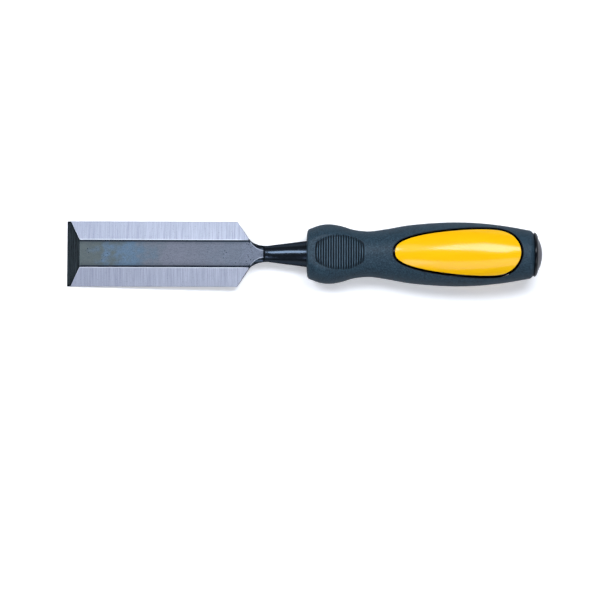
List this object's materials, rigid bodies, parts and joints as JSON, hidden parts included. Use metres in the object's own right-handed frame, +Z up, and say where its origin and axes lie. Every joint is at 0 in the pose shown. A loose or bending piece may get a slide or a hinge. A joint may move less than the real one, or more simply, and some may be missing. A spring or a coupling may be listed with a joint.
{
  "type": "bench chisel",
  "caption": "Wide bevel-edged bench chisel with a forged blade, a soft-grip handle with raised panels, and a domed strike cap.",
  "frame": {"origin": "centre of the bounding box at the level of the bench that the chisel lies on", "axes": "+X along the tool from the cutting edge towards the strike cap, +Y across the blade, +Z up out of the bevelled face; the tool leans about 3.5 degrees about Y, resting on its cutting edge and on the belly of the handle"},
  "size_m": [0.2762, 0.0382, 0.0352],
  "materials": {
    "blade_steel": "satin",
    "core_yellow": "gloss",
    "grip_rubber": "matte",
    "collar_black": "gloss",
    "cap_steel": "satin"
  },
  "bodies": {
    "root": {"blade": "blade_steel", "handle_core": "core_yellow", "soft_grip": "grip_rubber", "cap_collar": "collar_black", "strike_cap": "cap_steel"}
  },
  "joints": []
}
